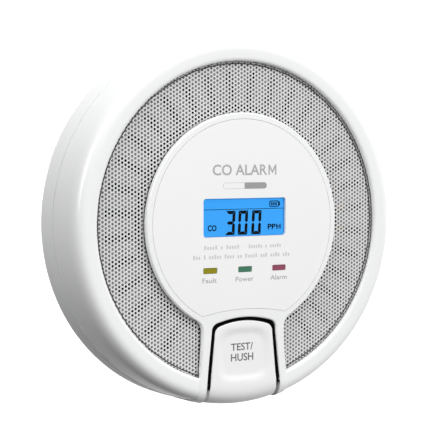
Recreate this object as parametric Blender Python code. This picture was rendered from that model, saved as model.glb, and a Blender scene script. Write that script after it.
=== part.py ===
"""Carbon monoxide detector on its wall bracket.

Lengths below are in millimetres. x is to the right seen from the front, z is up, and d is the distance
out from the wall, so a point is at (x, -d, z) and the face looks along -Y.
"""
import math

import bmesh
import bpy
from mathutils import Matrix, Vector

# Overall form, as (radius, d)
WALL_GAP = 3.0            # back of the case to the wall
SEAM_D = 11.4             # seam between rear case and front cover
FACE_D = 26.6             # middle of the face
DOME = 2.7e-7             # the face falls by DOME * r**4
RIM_TOP_D = 26.0
DISC_R = 32.8             # white centre disc
CHANNEL_R = (33.0, 48.0)  # grille channel
FLOOR_D = (21.9, 22.9)    # slotted floor under the grille
GRILLE_D = (23.8, 24.3)
ROUND = 72                # segments of the large turned shapes
PHASE = 1.3               # turns their facets off the round numbers the cut-outs sit at, in degrees

# Sound slots in the floor under the grille
SLOT_COUNT, SLOT_R, SLOT_WIDTH = 36, (36.0, 45.0), 1.8

# Printed film, display and status windows
FILM_R, FILM_ARC_Z, FILM_ARC_R = 30.9, -25.8, 68.0
FILM_BACK_D = 25.8
WINDOW = (0.0, 1.63, 28.6, 11.4)
LED_X, LED_Z, LED_SIZE = (-11.96, 0.0, 11.96), -13.9, (4.8, 1.75)

# Key at the bottom of the face
HINGE = (-46.5, 19.5)     # z, d of the key's pin
SWITCH_Z = -38.0

# Circuit board
BOARD_D = (16.0, 17.6)
BOARD_R = 44.5
CASE_SCREWS = [(48.2, a) for a in (40, 140, 220, 320)]
BOARD_SCREWS = [(-28.0, 24.0), (28.0, 24.0), (23.0, -33.0)]

# Bayonet and on/off peg
HOOK_ANGLES, HOOK_HALF, TWIST = (90, 210, 330), 5.0, 12.0
PEG_X = -34.0

# Long-life cell, lying along X
CELL = (24.1, 13.7, 8.5)  # z, d, radius


def clear_scene():
    for thing in list(bpy.data.objects):
        bpy.data.objects.remove(thing, do_unlink=True)


def material(name, colour, roughness=0.4, metallic=0.0, alpha=1.0):
    mat = bpy.data.materials.new(name)
    mat.use_nodes = True
    shader = mat.node_tree.nodes["Principled BSDF"]
    shader.inputs["Base Color"].default_value = (*colour, 1.0)
    shader.inputs["Roughness"].default_value = roughness
    shader.inputs["Metallic"].default_value = metallic
    shader.inputs["Alpha"].default_value = alpha
    mat.diffuse_color = (*colour, alpha)
    return mat


def polar(radius, angle):
    a = math.radians(angle)
    return radius * math.cos(a), radius * math.sin(a)


def new_object(name, bm, mat=None, origin=(0.0, 0.0, 0.0)):
    """Store a mesh drawn in millimetres; origin is (x, z, d)."""
    bmesh.ops.remove_doubles(bm, verts=bm.verts, dist=1e-3)
    bmesh.ops.recalc_face_normals(bm, faces=bm.faces)
    x, z, d = origin
    shift = Vector((x, -d, z))
    bmesh.ops.translate(bm, verts=bm.verts, vec=-shift)
    bmesh.ops.scale(bm, verts=bm.verts, vec=(0.001, 0.001, 0.001))
    mesh = bpy.data.meshes.new(name)
    bm.to_mesh(mesh)
    bm.free()
    obj = bpy.data.objects.new(name, mesh)
    obj.location = shift * 0.001
    bpy.context.scene.collection.objects.link(obj)
    if mat:
        mesh.materials.append(mat)
    return obj


def helper(obj):
    obj.hide_render = True
    obj.display_type = "WIRE"
    return obj


def combine(obj, other, operation):
    mod = obj.modifiers.new(other.name, "BOOLEAN")
    mod.operation = operation
    mod.solver = "EXACT"
    mod.object = helper(other)
    return obj


def cut(obj, other):
    return combine(obj, other, "DIFFERENCE")


def fuse(obj, other):
    return combine(obj, other, "UNION")


def add_turned(bm, profile, centre=(0.0, 0.0), steps=ROUND):
    """Turn a closed (radius, d) outline about the axis through (x, z) that runs out from the wall."""
    x0, z0 = centre
    along, up = polar(1.0, PHASE)
    verts = [bm.verts.new((x0 + r * along, -d, z0 + r * up)) for r, d in profile]
    edges = [bm.edges.new((verts[i - 1], verts[i])) for i in range(len(verts)) if profile[i - 1][0] or profile[i][0]]
    bmesh.ops.spin(bm, geom=verts + edges, cent=(x0, 0.0, z0), axis=(0.0, 1.0, 0.0),
                   angle=2 * math.pi, steps=steps, use_merge=True)


def add_turned_x(bm, profile, z0, d0, steps=32):
    """Turn a closed (x, radius) outline about an axis along X through (z, d)."""
    verts = [bm.verts.new((x, -d0, z0 + r)) for x, r in profile]
    edges = [bm.edges.new((verts[i - 1], verts[i])) for i in range(len(verts)) if profile[i - 1][1] or profile[i][1]]
    bmesh.ops.spin(bm, geom=verts + edges, cent=(0.0, -d0, z0), axis=(1.0, 0.0, 0.0),
                   angle=2 * math.pi, steps=steps, use_merge=True)


def add_prism(bm, outline, d0, d1):
    """Stand a closed (x, z) outline up between two distances from the wall."""
    low = bm.faces.new([bm.verts.new((x, -d0, z)) for x, z in outline])
    up = bmesh.ops.extrude_face_region(bm, geom=[low])["geom"]
    bmesh.ops.translate(bm, verts=[v for v in up if isinstance(v, bmesh.types.BMVert)], vec=(0, d0 - d1, 0))


def add_box(bm, x, z, d):
    add_prism(bm, [(x[0], z[0]), (x[1], z[0]), (x[1], z[1]), (x[0], z[1])], d[0], d[1])


def add_rod(bm, centre, radius, d, steps=24):
    add_prism(bm, [(centre[0] + a, centre[1] + b)
                   for a, b in (polar(radius, PHASE + 360 * i / steps) for i in range(steps))], d[0], d[1])


def rounded(centre_x, centre_z, width, height, radius, steps=5):
    points = []
    for sx, sz, start in ((1, 1, 0), (-1, 1, 90), (-1, -1, 180), (1, -1, 270)):
        for i in range(steps + 1):
            a, b = polar(radius, start + 90 * i / steps)
            points.append((centre_x + sx * (width / 2 - radius) + a, centre_z + sz * (height / 2 - radius) + b))
    return points


def arc(radius, start, end, steps, centre=(0.0, 0.0)):
    return [(centre[0] + a, centre[1] + b)
            for a, b in (polar(radius, start + (end - start) * i / steps) for i in range(steps + 1))]


def sector(r0, r1, start, end, steps=8):
    return arc(r0, start, end, steps) + arc(r1, end, start, steps)


def add_band(bm, rows, columns=8):
    """Loft a thick strip across the bottom of the face, curved about the face's axis. Each row is
    (half width, (radius, d) of the outer skin, (radius, d) of the inner skin)."""
    rings = []
    for half, outer, inner in rows:
        ring = []
        for sense, (r, d) in ((1, outer), (-1, inner)):
            for i in range(columns + 1):
                x = sense * half * (2 * i / columns - 1)
                ring.append(bm.verts.new((x, -d, -math.sqrt(r * r - x * x))))
        rings.append(ring)
    for ring in (rings[0], rings[-1]):
        for i in range(columns):
            bm.faces.new((ring[i], ring[i + 1], ring[-i - 2], ring[-i - 1]))
    for a, b in zip(rings, rings[1:]):
        for i in range(len(a)):
            j = (i + 1) % len(a)
            bm.faces.new((a[i], a[j], b[j], b[i]))
    bmesh.ops.triangulate(bm, faces=bm.faces)


def face_d(radius):
    return FACE_D - DOME * radius ** 4


def solid(name, mat, build, origin=(0.0, 0.0, 0.0)):
    bm = bmesh.new()
    build(bm)
    return new_object(name, bm, mat, origin)


def rod(name, mat, centre, radius, d, steps=24):
    return solid(name, mat, lambda bm: add_rod(bm, centre, radius, d, steps))


def box(name, mat, x, z, d):
    return solid(name, mat, lambda bm: add_box(bm, x, z, d))


def plate(name, mat, outline, d0, d1):
    return solid(name, mat, lambda bm: add_prism(bm, outline, d0, d1))


def mounting_bracket(mat):
    def base(bm):
        add_turned(bm, [(0, 0), (45.4, 0), (46.0, 0.6), (46.0, 1.8), (45.4, 2.4), (0, 2.4)])

    def stems(bm):
        for a in HOOK_ANGLES:
            add_prism(bm, sector(39.0, 41.0, a - HOOK_HALF, a + HOOK_HALF, 4), 1.2, 7.0)

    def tips(bm):
        for a in HOOK_ANGLES:
            add_prism(bm, sector(40.0, 43.3, a - HOOK_HALF + 0.4, a + HOOK_HALF - 0.4, 3), 5.5, 6.8)

    def peg(bm):
        add_rod(bm, (PEG_X, 0), 1.1, (1.2, 7.9), 16)

    def slots(bm):
        for s in (-1, 1):
            add_prism(bm, arc(2.2, -90, 90, 8, (s * 20 + 2.8, 0)) + arc(2.2, 90, 270, 8, (s * 20 - 2.8, 0)), -1, 4)

    def lightening(bm):
        for a in (30, 150, 270):
            add_prism(bm, sector(20.0, 34.0, a - 22, a + 22, 8), -1, 4)

    obj = solid("mounting_bracket", mat, base)
    fuse(obj, solid("bracket_stems", None, stems))
    fuse(obj, solid("bracket_tips", None, tips))
    fuse(obj, solid("bracket_peg", None, peg))
    cut(obj, solid("bracket_slots", None, slots))
    cut(obj, solid("bracket_windows", None, lightening))


def rear_case(mat):
    profile = [(0, WALL_GAP), (54.6, WALL_GAP), (55.4, 3.25), (55.8, 3.9), (55.75, 7.0), (55.45, SEAM_D - 0.15),
               (53.0, SEAM_D - 0.15), (53.0, 13.5), (51.6, 13.5), (51.6, 9.4), (53.4, 8.0), (53.4, 5.5),
               (52.9, 5.0), (0, 5.0)]
    obj = solid("rear_case", mat, lambda bm: add_turned(bm, profile))

    def bosses(bm):
        for radius, angle in CASE_SCREWS:
            add_rod(bm, polar(radius, angle), 3.2, (4.0, 6.7))

    def cradle(bm):
        for x in (-13.0, 9.0):
            add_box(bm, (x, x + 2.5), (CELL[0] - 8.0, CELL[0] + 8.0), (4.5, 9.5))

    def rails(bm):
        for x in (-38.3, -29.9):
            add_box(bm, (x, x + 0.9), (-5.0, 12.5), (4.5, 8.2))

    fuse(obj, solid("case_bosses", None, bosses))
    fuse(obj, solid("case_cradle", None, cradle))
    fuse(obj, solid("case_rails", None, rails))
    cut(obj, solid("case_cell_bed", None, lambda bm: add_turned_x(
        bm, [(-30, 0), (-30, 8.8), (30, 8.8), (30, 0)], CELL[0], CELL[1] + 0.1, 40)))

    def bayonet(bm):
        for a in HOOK_ANGLES:
            split = a - HOOK_HALF - 1.0
            outline = (arc(38.5, a - 18.0, a + 6.0, 8) + arc(41.5, a + 6.0, split, 5)
                       + arc(43.9, split, a - 18.0, 5))
            add_prism(bm, outline, 2.0, 6.0)

    def peg_slot(bm):
        add_prism(bm, sector(32.6, 35.4, 183.4, 180 - TWIST - 3.4, 6), 2.0, 6.0)

    def screw_holes(bm):
        for radius, angle in CASE_SCREWS:
            add_turned(bm, [(0, 2.0), (3.0, 2.0), (3.0, 4.9), (1.7, 4.9), (1.7, 8.0), (0, 8.0)],
                       polar(radius, angle), 20)

    cut(obj, solid("case_bayonet", None, bayonet))
    cut(obj, solid("case_peg_slot", None, peg_slot))
    cut(obj, solid("case_screw_holes", None, screw_holes))
    cut(obj, box("case_label_bed", None, (-22.3, 22.3), (-12.3, 12.3), (2.0, 3.4)))


def key_outline():
    """Plan outline of the opening around the key, open end at the bottom."""
    crown = [(x, -28.3 - x * x * 0.0163) for x in (8.4, 5.6, 2.8, 0.0, -2.8, -5.6, -8.4)]
    right = [(12.9, -49.4), (11.0, -32.2), (10.75, -31.1), (10.3, -30.3), (9.6, -29.8)]
    return right + crown + [(-x, z) for x, z in reversed(right)]


def film_cutter(bm):
    add_rod(bm, (0.0, FILM_ARC_Z - FILM_ARC_R), FILM_ARC_R, (20.0, 30.0), 144)


def chin_rows():
    """The two legs and the chin, as one strip down over the bottom edge."""
    return [(13.0, (27.0, 26.4), (27.0, 24.3)), (13.9, (33.5, 26.25), (33.5, 22.4)),
            (14.6, (42.0, 26.0), (42.0, 22.4)), (15.2, (48.0, 25.85), (47.4, 22.4)),
            (15.4, (51.4, 25.75), (49.4, 22.0)), (15.5, (53.2, 25.3), (50.2, 20.9)),
            (15.5, (54.3, 24.1), (50.8, 19.6)), (15.6, (55.1, 21.5), (51.1, 18.0)),
            (15.6, (55.55, 15.6), (51.3, 15.2)), (15.6, (55.6, 14.2), (53.45, 14.2)),
            (15.6, (55.65, 12.2), (53.45, 12.2))]


def front_cover(mat):
    dome = [(r, face_d(r)) for r in (32.0, 24.0, 12.0, 0.0)]
    profile = [(0, 24.3), (30.9, 24.1), (31.2, FLOOR_D[0]), (49.2, FLOOR_D[0]), (49.7, 24.2), (52.0, 24.1),
               (52.9, 22.0), (53.2, 17.0), (53.3, SEAM_D + 0.1), (55.4, SEAM_D + 0.1), (55.2, 17.0),
               (54.9, 21.5), (54.4, 23.2), (53.9, 24.5), (53.45, 25.4), (52.8, 25.85), (52.0, RIM_TOP_D),
               (49.2, RIM_TOP_D), (48.4, 25.85), (48.0, 25.5), (48.0, 23.7), (47.2, 23.6), (47.2, FLOOR_D[1]),
               (33.8, FLOOR_D[1]), (33.8, 23.6), (33.0, 23.7), (DISC_R + 0.05, 26.0), (32.5, 26.2)] + dome
    obj = solid("front_cover", mat, lambda bm: add_turned(bm, profile))
    fuse(obj, solid("cover_chin", None, lambda bm: add_band(bm, chin_rows())))

    def bosses(bm):
        for radius, angle in CASE_SCREWS:
            add_rod(bm, polar(radius, angle), 3.0, (7.0, 22.5))
        for centre in BOARD_SCREWS:
            add_rod(bm, centre, 2.6, (BOARD_D[1] + 0.2, 22.4))

    def slots(bm):
        half = SLOT_WIDTH / 2
        for i in range(SLOT_COUNT):
            angle = 5 + 360 / SLOT_COUNT * i
            x, z = polar(40.5, angle)
            if z < 0 and abs(x) < 21:
                continue
            turn = Matrix.Rotation(math.radians(angle), 2)
            corners = [turn @ Vector(c) for c in ((SLOT_R[0], -half), (SLOT_R[1], -half), (SLOT_R[1], half),
                                                  (SLOT_R[0], half))]
            add_prism(bm, [tuple(c) for c in corners], 21.0, 23.2)

    def windows(bm):
        add_prism(bm, rounded(WINDOW[0], WINDOW[1], WINDOW[2], WINDOW[3], 0.9), 22.0, 30.0)
        for x in LED_X:
            add_prism(bm, rounded(x, LED_Z, LED_SIZE[0], LED_SIZE[1], 0.2, 2), 22.0, 30.0)

    def pilots(bm):
        for radius, angle in CASE_SCREWS:
            add_rod(bm, polar(radius, angle), 1.35, (5.0, 18.0), 16)
        for centre in BOARD_SCREWS:
            add_rod(bm, centre, 1.1, (17.0, 21.6), 16)

    fuse(obj, solid("cover_bosses", None, bosses))
    cut(obj, solid("cover_slots", None, slots))
    cut(obj, solid("cover_windows", None, windows))
    cut(obj, solid("cover_pilots", None, pilots))
    bed = solid("cover_film_bed", None, lambda bm: add_rod(bm, (0, 0), FILM_R + 0.1, (FILM_BACK_D - 0.05, 30), 96))
    cut(bed, solid("cover_film_bed_arc", None, film_cutter))
    cut(obj, bed)
    cut(obj, plate("cover_key_opening", None, key_outline(), 10.0, 30.0))
    cut(obj, solid("cover_key_bed", None, lambda bm: add_band(bm, [
        (12.95, (48.6, 31.0), (48.6, 22.7)), (12.95, (53.0, 31.0), (50.8, 22.0)),
        (13.0, (58.0, 29.0), (51.9, 20.5)), (13.0, (61.0, 22.0), (52.7, 18.5)),
        (13.0, (61.0, 15.0), (53.0, 15.0))])))

    def cheeks(bm):
        for s in (-1, 1):
            x = sorted((s * 13.1, s * 14.9))
            add_box(bm, x, (-49.8, -43.2), (17.0, 23.4))

    fuse(obj, solid("cover_cheeks", None, cheeks))
    cut(obj, solid("cover_pin_bore", None, lambda bm: add_turned_x(
        bm, [(-14.5, 0), (-14.5, 0.95), (14.5, 0.95), (14.5, 0)], HINGE[0], HINGE[1], 20)))


def speaker_grille(mat):
    r0, r1 = CHANNEL_R[0] + 0.15, CHANNEL_R[1] - 0.15
    obj = solid("speaker_grille", mat, lambda bm: add_turned(
        bm, [(r0, GRILLE_D[0]), (r1, GRILLE_D[0]), (r1, GRILLE_D[1]), (r0, GRILLE_D[1])]))
    cut(obj, plate("grille_gap", None, [(-16.3, -60), (16.3, -60), (15.45, -45.6), (14.85, -40.3), (14.3, -33),
                                        (14.2, -20), (-14.2, -20), (-14.3, -33), (-14.85, -40.3), (-15.45, -45.6)],
                    20, 30))


def face_windows(film_mat, window_mat, led_mats):
    dome = [(FILM_R, face_d(FILM_R))] + [(r, face_d(r)) for r in (24.0, 12.0, 0.0)]
    film = solid("face_overlay", film_mat, lambda bm: add_turned(
        bm, [(0, FILM_BACK_D), (FILM_R, FILM_BACK_D)] + dome))
    cut(film, solid("film_arc", None, lambda bm: add_rod(
        bm, (0.0, FILM_ARC_Z - FILM_ARC_R), FILM_ARC_R + 0.1, (20.0, 30.0), 144)))

    def holes(bm):
        add_prism(bm, rounded(WINDOW[0], WINDOW[1], WINDOW[2], WINDOW[3], 0.9), 22.0, 30.0)
        for x in LED_X:
            add_prism(bm, rounded(x, LED_Z, LED_SIZE[0], LED_SIZE[1], 0.2, 2), 22.0, 30.0)

    cut(film, solid("film_holes", None, holes))
    plate("display_window", window_mat,
          rounded(WINDOW[0], WINDOW[1], WINDOW[2] - 0.1, WINDOW[3] - 0.1, 0.85), 24.6, 26.5)
    for x, name in zip(LED_X, ("fault", "power", "alarm")):
        plate("led_lens_" + name, led_mats[name],
              rounded(x, LED_Z, LED_SIZE[0] - 0.1, LED_SIZE[1] - 0.1, 0.2, 2), 24.5, 26.45)


def display_stack(mats):
    z = WINDOW[1]
    holder = box("lcd_holder", mats["holder"], (-17.2, 17.2), (z - 8.7, z + 8.7), (17.8, 24.0))
    cut(holder, box("holder_well", None, (-15.8, 15.8), (z - 7.3, z + 7.3), (19.0, 30.0)))
    box("lcd_panel", mats["lcd"], (-15.6, 15.6), (z - 7.1, z + 7.1), (22.3, 23.9))
    box("lcd_backlight", mats["backlight"], (-15.4, 15.4), (z - 5.0, z + 6.9), (19.1, 22.1))
    box("zebra_strip", mats["zebra"], (-14.0, 14.0), (z - 6.9, z - 5.5), (19.1, 22.2))


def circuit_board(mats):
    board = rod("circuit_board", mats["board"], (0, 0), BOARD_R, BOARD_D, 72)
    cut(board, box("board_cell_notch", None, (-21.8, 21.8), (15.1, 60), (10, 20)))
    cut(board, solid("board_screw_holes", None, lambda bm: [add_rod(bm, c, 1.5, (10, 20), 16) for c in BOARD_SCREWS]))
    top, bottom = BOARD_D[1] + 0.05, BOARD_D[0] - 0.05
    for x, name in zip(LED_X, ("fault", "power", "alarm")):
        box("led_" + name, mats["led"], (x - 1.6, x + 1.6), (LED_Z - 0.8, LED_Z + 0.8), (top, top + 1.1))
    block = box("light_block", mats["holder"], (-15.6, 15.6), (LED_Z - 2.6, LED_Z + 2.6), (19.2, 24.0))
    cut(block, solid("light_wells", None, lambda bm: [add_box(
        bm, (x - 2.2, x + 2.2), (LED_Z - 1.2, LED_Z + 1.2), (18, 25)) for x in LED_X]))
    box("microcontroller", mats["chip"], (-31.5, -22.5), (-2.0, 7.0), (top, top + 1.4))
    plate("crystal", mats["can"], rounded(-27.0, -9.5, 7.5, 3.2, 1.5, 4), top, top + 2.6)
    solid("boost_coil", mats["coil"], lambda bm: add_turned(
        bm, [(0, 9.6), (5.0, 9.6), (5.0, 10.6), (4.0, 10.9), (4.0, 14.6), (5.0, 14.9), (5.0, bottom), (0, bottom)],
        (28.0, -6.0), 24))
    for i, (x, z, r, low) in enumerate(((26.0, -21.0, 4.0, 6.6), (13.5, -31.0, 3.1, 8.6)), 1):
        solid(f"capacitor_{i}", mats["sleeve"], lambda bm: add_turned(
            bm, [(0, low), (r - 0.4, low), (r, low + 0.4), (r, bottom - 1.2), (r - 0.3, bottom - 0.9),
                 (r, bottom - 0.6), (r, bottom), (0, bottom)], (x, z), 24))
    solid("co_sensor_body", mats["can"], lambda bm: add_turned(
        bm, [(0, 8.3), (9.2, 8.3), (9.8, 8.7), (9.8, 14.7), (10.2, 15.0), (10.2, bottom), (0, bottom)],
        (-16.0, -20.0), 40))
    solid("co_sensor_cap", mats["cap"], lambda bm: add_turned(
        bm, [(1.2, 6.3), (6.5, 6.3), (7.0, 6.7), (7.0, 8.2), (1.2, 8.2)], (-16.0, -20.0), 32))
    solid("sounder_housing", mats["sounder"], lambda bm: add_turned(
        bm, [(0, top), (11.4, top), (11.4, 21.3), (10.9, 21.6), (10.1, 21.6), (10.1, 19.7), (9.2, 19.7),
             (9.2, 18.5), (0, 18.5)], (32.5, 2.0), 40))
    rod("piezo_disc", mats["brass"], (32.5, 2.0), 9.9, (19.8, 20.2), 40)
    body = box("switch_body", mats["chip"], (-3.1, 3.1), (SWITCH_Z - 3.1, SWITCH_Z + 3.1), (top, 21.2))
    cut(body, rod("switch_bore", None, (0, SWITCH_Z), 2.0, (18.6, 25.0)))
    solid("switch_plunger", mats["plunger"], lambda bm: add_rod(bm, (0, SWITCH_Z), 1.7, (19.6, 22.8), 20),
          (0, SWITCH_Z, 21.2))


def sealed_cell(mats):
    z, d, r = CELL
    solid("battery_cell", mats["cell"], lambda bm: add_turned_x(
        bm, [(-17.2, 0), (-17.2, r - 0.6), (-16.7, r), (15.6, r), (16.2, r - 0.5), (16.2, 0)], z, d, 36))
    solid("battery_cap", mats["can"], lambda bm: add_turned_x(
        bm, [(16.3, 0), (16.3, 3.0), (17.5, 2.8), (17.5, 0)], z, d, 24))
    box("battery_contact_positive", mats["can"], (17.8, 18.2), (z - 6, z + 6), (5.3, 20.0))
    solid("battery_contact_negative", mats["can"], lambda bm: add_turned_x(
        bm, [(-19.0, 0), (-19.0, 7.0), (-18.6, 7.0), (-18.5, 5.0), (-17.4, 2.4), (-17.4, 0)], z, d, 24))


def screws(mat):
    for i, (radius, angle) in enumerate(CASE_SCREWS, 1):
        solid(f"case_screw_{i}", mat, lambda bm: add_turned(
            bm, [(0, 3.9), (0.9, 3.5), (2.3, 3.5), (2.6, 3.9), (2.6, 4.8), (1.25, 4.8), (1.25, 15.5), (0.3, 16.5),
                 (0, 16.5)], polar(radius, angle), 16))
    for i, centre in enumerate(BOARD_SCREWS, 1):
        solid(f"board_screw_{i}", mat, lambda bm: add_turned(
            bm, [(0, 14.8), (0.8, 14.4), (2.0, 14.4), (2.3, 14.8), (2.3, 15.9), (1.0, 15.9), (1.0, 20.4), (0.3, 21.2),
                 (0, 21.2)], centre, 16))


def test_button(mat, pin_mat):
    z0, d0 = HINGE
    rows = [(12.2, (28.0, 25.9), (28.0, 23.7)), (12.2, (31.5, 26.05), (31.5, 23.8)),
            (12.2, (41.0, 26.05), (41.0, 23.6)), (12.2, (48.0, 26.0), (47.6, 23.5)),
            (12.2, (50.8, 25.75), (49.9, 23.2)), (12.2, (52.8, 24.85), (51.6, 22.5)),
            (12.2, (54.1, 23.2), (52.5, 21.2)), (12.2, (54.8, 20.9), (53.1, 19.8)),
            (12.2, (55.15, 18.4), (53.4, 18.2)), (12.2, (55.3, 15.6), (53.6, 15.6))]

    def build(bm):
        add_band(bm, rows)

    def lugs(bm):
        for s in (-1, 1):
            x = sorted((s * 7.6, s * 9.8))
            add_box(bm, x, (z0 - 1.7, z0 + 1.7), (d0 - 1.8, 24.0))
        add_rod(bm, (0, SWITCH_Z), 1.8, (23.1, 24.3), 20)

    obj = solid("test_button", mat, build, (0.0, z0, d0))
    fuse(obj, solid("button_lugs", None, lugs))
    outline = [(11.9, -60.0), (11.7, -50.5), (10.75, -41.0), (10.0, -32.4), (9.8, -31.5), (9.4, -30.9), (8.6, -30.55)]
    crown = [(x, -29.7 - x * x * 0.0136) for x in (7.0, 3.5, 0.0, -3.5, -7.0)]
    trim = plate("button_plan", None, outline + crown + [(-x, z) for x, z in reversed(outline)], 5.0, 30.0)
    combine(obj, trim, "INTERSECT")
    cut(obj, solid("button_bore", None, lambda bm: add_turned_x(
        bm, [(-12, 0), (-12, 1.0), (12, 1.0), (12, 0)], z0, d0, 20)))
    cut(obj, solid("button_dish", None, lambda bm: add_band(bm, [
        (7.0, (33.2, 27.5), (33.2, 26.15)), (6.9, (34.6, 27.5), (34.6, 25.7)),
        (7.2, (43.6, 27.5), (43.6, 25.65)), (7.4, (45.8, 27.5), (45.8, 26.1))])))
    solid("button_hinge_pin", pin_mat, lambda bm: add_turned_x(
        bm, [(-14.3, 0), (-14.3, 0.9), (14.3, 0.9), (14.3, 0)], z0, d0, 20))


def power_switch(mats):
    z_mid = 3.5

    def slider(bm):
        add_box(bm, (PEG_X - 3.2, PEG_X + 3.8), (-3.0, 3.0), (5.3, 8.5))

    obj = solid("power_slider", mats["slider"], slider, (PEG_X, 0.0, 7.0))
    cut(obj, box("slider_pocket", None, (PEG_X - 1.5, PEG_X + 2.3), (-1.5, 1.5), (4.0, 8.2)))

    def fork(bm):
        for s in (-1, 1):
            add_box(bm, (PEG_X - 1.5, PEG_X + 1.5), sorted((s * 1.0, s * 1.9)), (8.3, 9.9))

    fuse(obj, solid("slider_fork", None, fork))
    solid("power_switch_knob", mats["holder"], lambda bm: add_box(
        bm, (PEG_X - 0.8, PEG_X + 0.8), (-0.9, 0.9), (8.6, 12.6)), (PEG_X, 0.0, 10.0))
    body = box("power_switch_body", mats["can"], (PEG_X - 3.6, PEG_X + 3.6), (z_mid - 7.0, z_mid + 7.0),
               (10.3, BOARD_D[0] - 0.05))
    cut(body, box("power_switch_slot", None, (PEG_X - 1.2, PEG_X + 1.2), (-1.5, 8.6), (9.0, 13.2)))


def main():
    clear_scene()
    white = (0.86, 0.86, 0.85)
    parts = {
        "holder": material("holder_black", (0.03, 0.03, 0.03), 0.5),
        "lcd": material("lcd_glass", (0.08, 0.4, 0.85), 0.15),
        "backlight": material("backlight_diffuser", (0.75, 0.85, 0.95), 0.4),
        "zebra": material("zebra_rubber", (0.15, 0.15, 0.16), 0.8),
        "board": material("board_green", (0.03, 0.22, 0.09), 0.45),
        "led": material("led_body", (0.9, 0.88, 0.75), 0.3),
        "chip": material("chip_black", (0.02, 0.02, 0.022), 0.45),
        "can": material("plated_can", (0.72, 0.72, 0.7), 0.3, 1.0),
        "coil": material("coil_ferrite", (0.08, 0.075, 0.07), 0.6),
        "sleeve": material("capacitor_sleeve", (0.05, 0.07, 0.2), 0.35),
        "cap": material("sensor_cap", (0.12, 0.12, 0.12), 0.5),
        "sounder": material("sounder_plastic", (0.04, 0.04, 0.045), 0.5),
        "brass": material("piezo_brass", (0.75, 0.55, 0.22), 0.3, 1.0),
        "plunger": material("plunger_plastic", (0.7, 0.68, 0.62), 0.45),
        "cell": material("cell_wrap", (0.1, 0.16, 0.3), 0.3),
        "slider": material("slider_red", (0.6, 0.06, 0.05), 0.45),
    }
    leds = {
        "fault": material("lens_amber", (0.35, 0.3, 0.01), 0.2),
        "power": material("lens_green", (0.04, 0.2, 0.11), 0.2),
        "alarm": material("lens_red", (0.35, 0.05, 0.12), 0.2),
    }
    mounting_bracket(material("bracket_white", (0.8, 0.8, 0.79), 0.5))
    rear_case(material("case_white", white, 0.4))
    front_cover(material("cover_white", white, 0.35))
    speaker_grille(material("grille_metal", (0.72, 0.72, 0.72), 0.35, 0.6))
    face_windows(material("overlay_film", (0.82, 0.82, 0.82), 0.3),
                 material("window_clear", (0.35, 0.65, 0.95), 0.05, 0.0, 0.35), leds)
    display_stack(parts)
    circuit_board(parts)
    sealed_cell(parts)
    screws(material("screw_steel", (0.6, 0.6, 0.6), 0.3, 1.0))
    test_button(material("button_white", white, 0.35), material("pin_steel", (0.6, 0.6, 0.62), 0.3, 1.0))
    power_switch(parts)
    plate("rear_label", material("label_grey", (0.6, 0.61, 0.62), 0.5), rounded(0, 0, 44.0, 24.0, 1.0), 3.05, 3.3)


main()
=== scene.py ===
from math import atan2, cos, degrees, exp, hypot, pi, radians, sin, sqrt, tan

import bmesh
import bpy
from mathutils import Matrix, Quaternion, Vector
from mathutils.geometry import interpolate_bezier


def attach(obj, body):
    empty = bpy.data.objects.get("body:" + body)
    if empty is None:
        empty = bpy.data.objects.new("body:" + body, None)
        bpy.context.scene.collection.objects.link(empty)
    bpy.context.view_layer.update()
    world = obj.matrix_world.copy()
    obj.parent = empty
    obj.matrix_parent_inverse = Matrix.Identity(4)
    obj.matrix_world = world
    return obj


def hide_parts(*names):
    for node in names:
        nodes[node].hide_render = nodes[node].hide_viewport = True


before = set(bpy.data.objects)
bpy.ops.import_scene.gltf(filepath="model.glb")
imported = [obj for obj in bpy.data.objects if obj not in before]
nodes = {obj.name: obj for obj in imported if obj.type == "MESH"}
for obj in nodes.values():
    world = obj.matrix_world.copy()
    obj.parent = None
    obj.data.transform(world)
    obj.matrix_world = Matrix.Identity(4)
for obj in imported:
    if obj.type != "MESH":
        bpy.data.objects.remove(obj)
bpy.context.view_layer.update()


# ---------------------------------------------------------------- the studio
# A white studio: pale floor well below, a soft wash of light that fades towards the floor,
# and two soft boxes. The alarm faces -Y and is seen from its left side, a little from above.

class Wire:
    """A shader socket. Sums and products of wires and numbers add their Math nodes."""

    def __init__(self, board, socket):
        self.board = board
        self.socket = socket

    def math(self, operation, first, second=0.0):
        return self.board.node("ShaderNodeMath", {"operation": operation}, {0: first, 1: second})

    def __add__(self, other):
        return self.math("ADD", self, other)

    def __sub__(self, other):
        return self.math("SUBTRACT", self, other)

    def __rsub__(self, other):
        return self.math("SUBTRACT", other, self)

    def __mul__(self, other):
        return self.math("MULTIPLY", self, other)

    def __abs__(self):
        return self.math("ABSOLUTE", self)

    __radd__ = __add__
    __rmul__ = __mul__


class Board:
    """The node board of one finish, or of the studio's light."""

    def __init__(self, tree):
        self.tree = tree
        tree.nodes.clear()

    def node(self, kind, settings=None, inputs=None, output=0):
        made = self.tree.nodes.new(kind)
        for name, value in (settings or {}).items():
            if name == "stops":
                ramp = made.color_ramp.elements
                while len(ramp) < len(value):
                    ramp.new(0.5)
                for stop, (place, colour) in zip(ramp, value):
                    stop.position = place
                    stop.color = (*colour, 1.0) if len(colour) == 3 else colour
            else:
                setattr(made, name, value)
        for name, value in (inputs or {}).items():
            socket = made.inputs[name]
            if isinstance(value, Wire):
                self.tree.links.new(value.socket, socket)
            else:
                socket.default_value = value
        return Wire(self, made.outputs[output] if made.outputs else None)

    def mix(self, factor, first, second):
        """A colour between two colours."""
        return self.node("ShaderNodeMix", {"data_type": "RGBA"}, {0: factor, 6: first, 7: second}, 2)

    def ramp(self, factor, low, high, first=0.0, second=1.0):
        """A number that goes from first to second as factor goes from low to high."""
        ends = {"Value": factor, "From Min": low, "From Max": high, "To Min": first, "To Max": second}
        return self.node("ShaderNodeMapRange", {"interpolation_type": "SMOOTHSTEP"}, ends)


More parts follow.
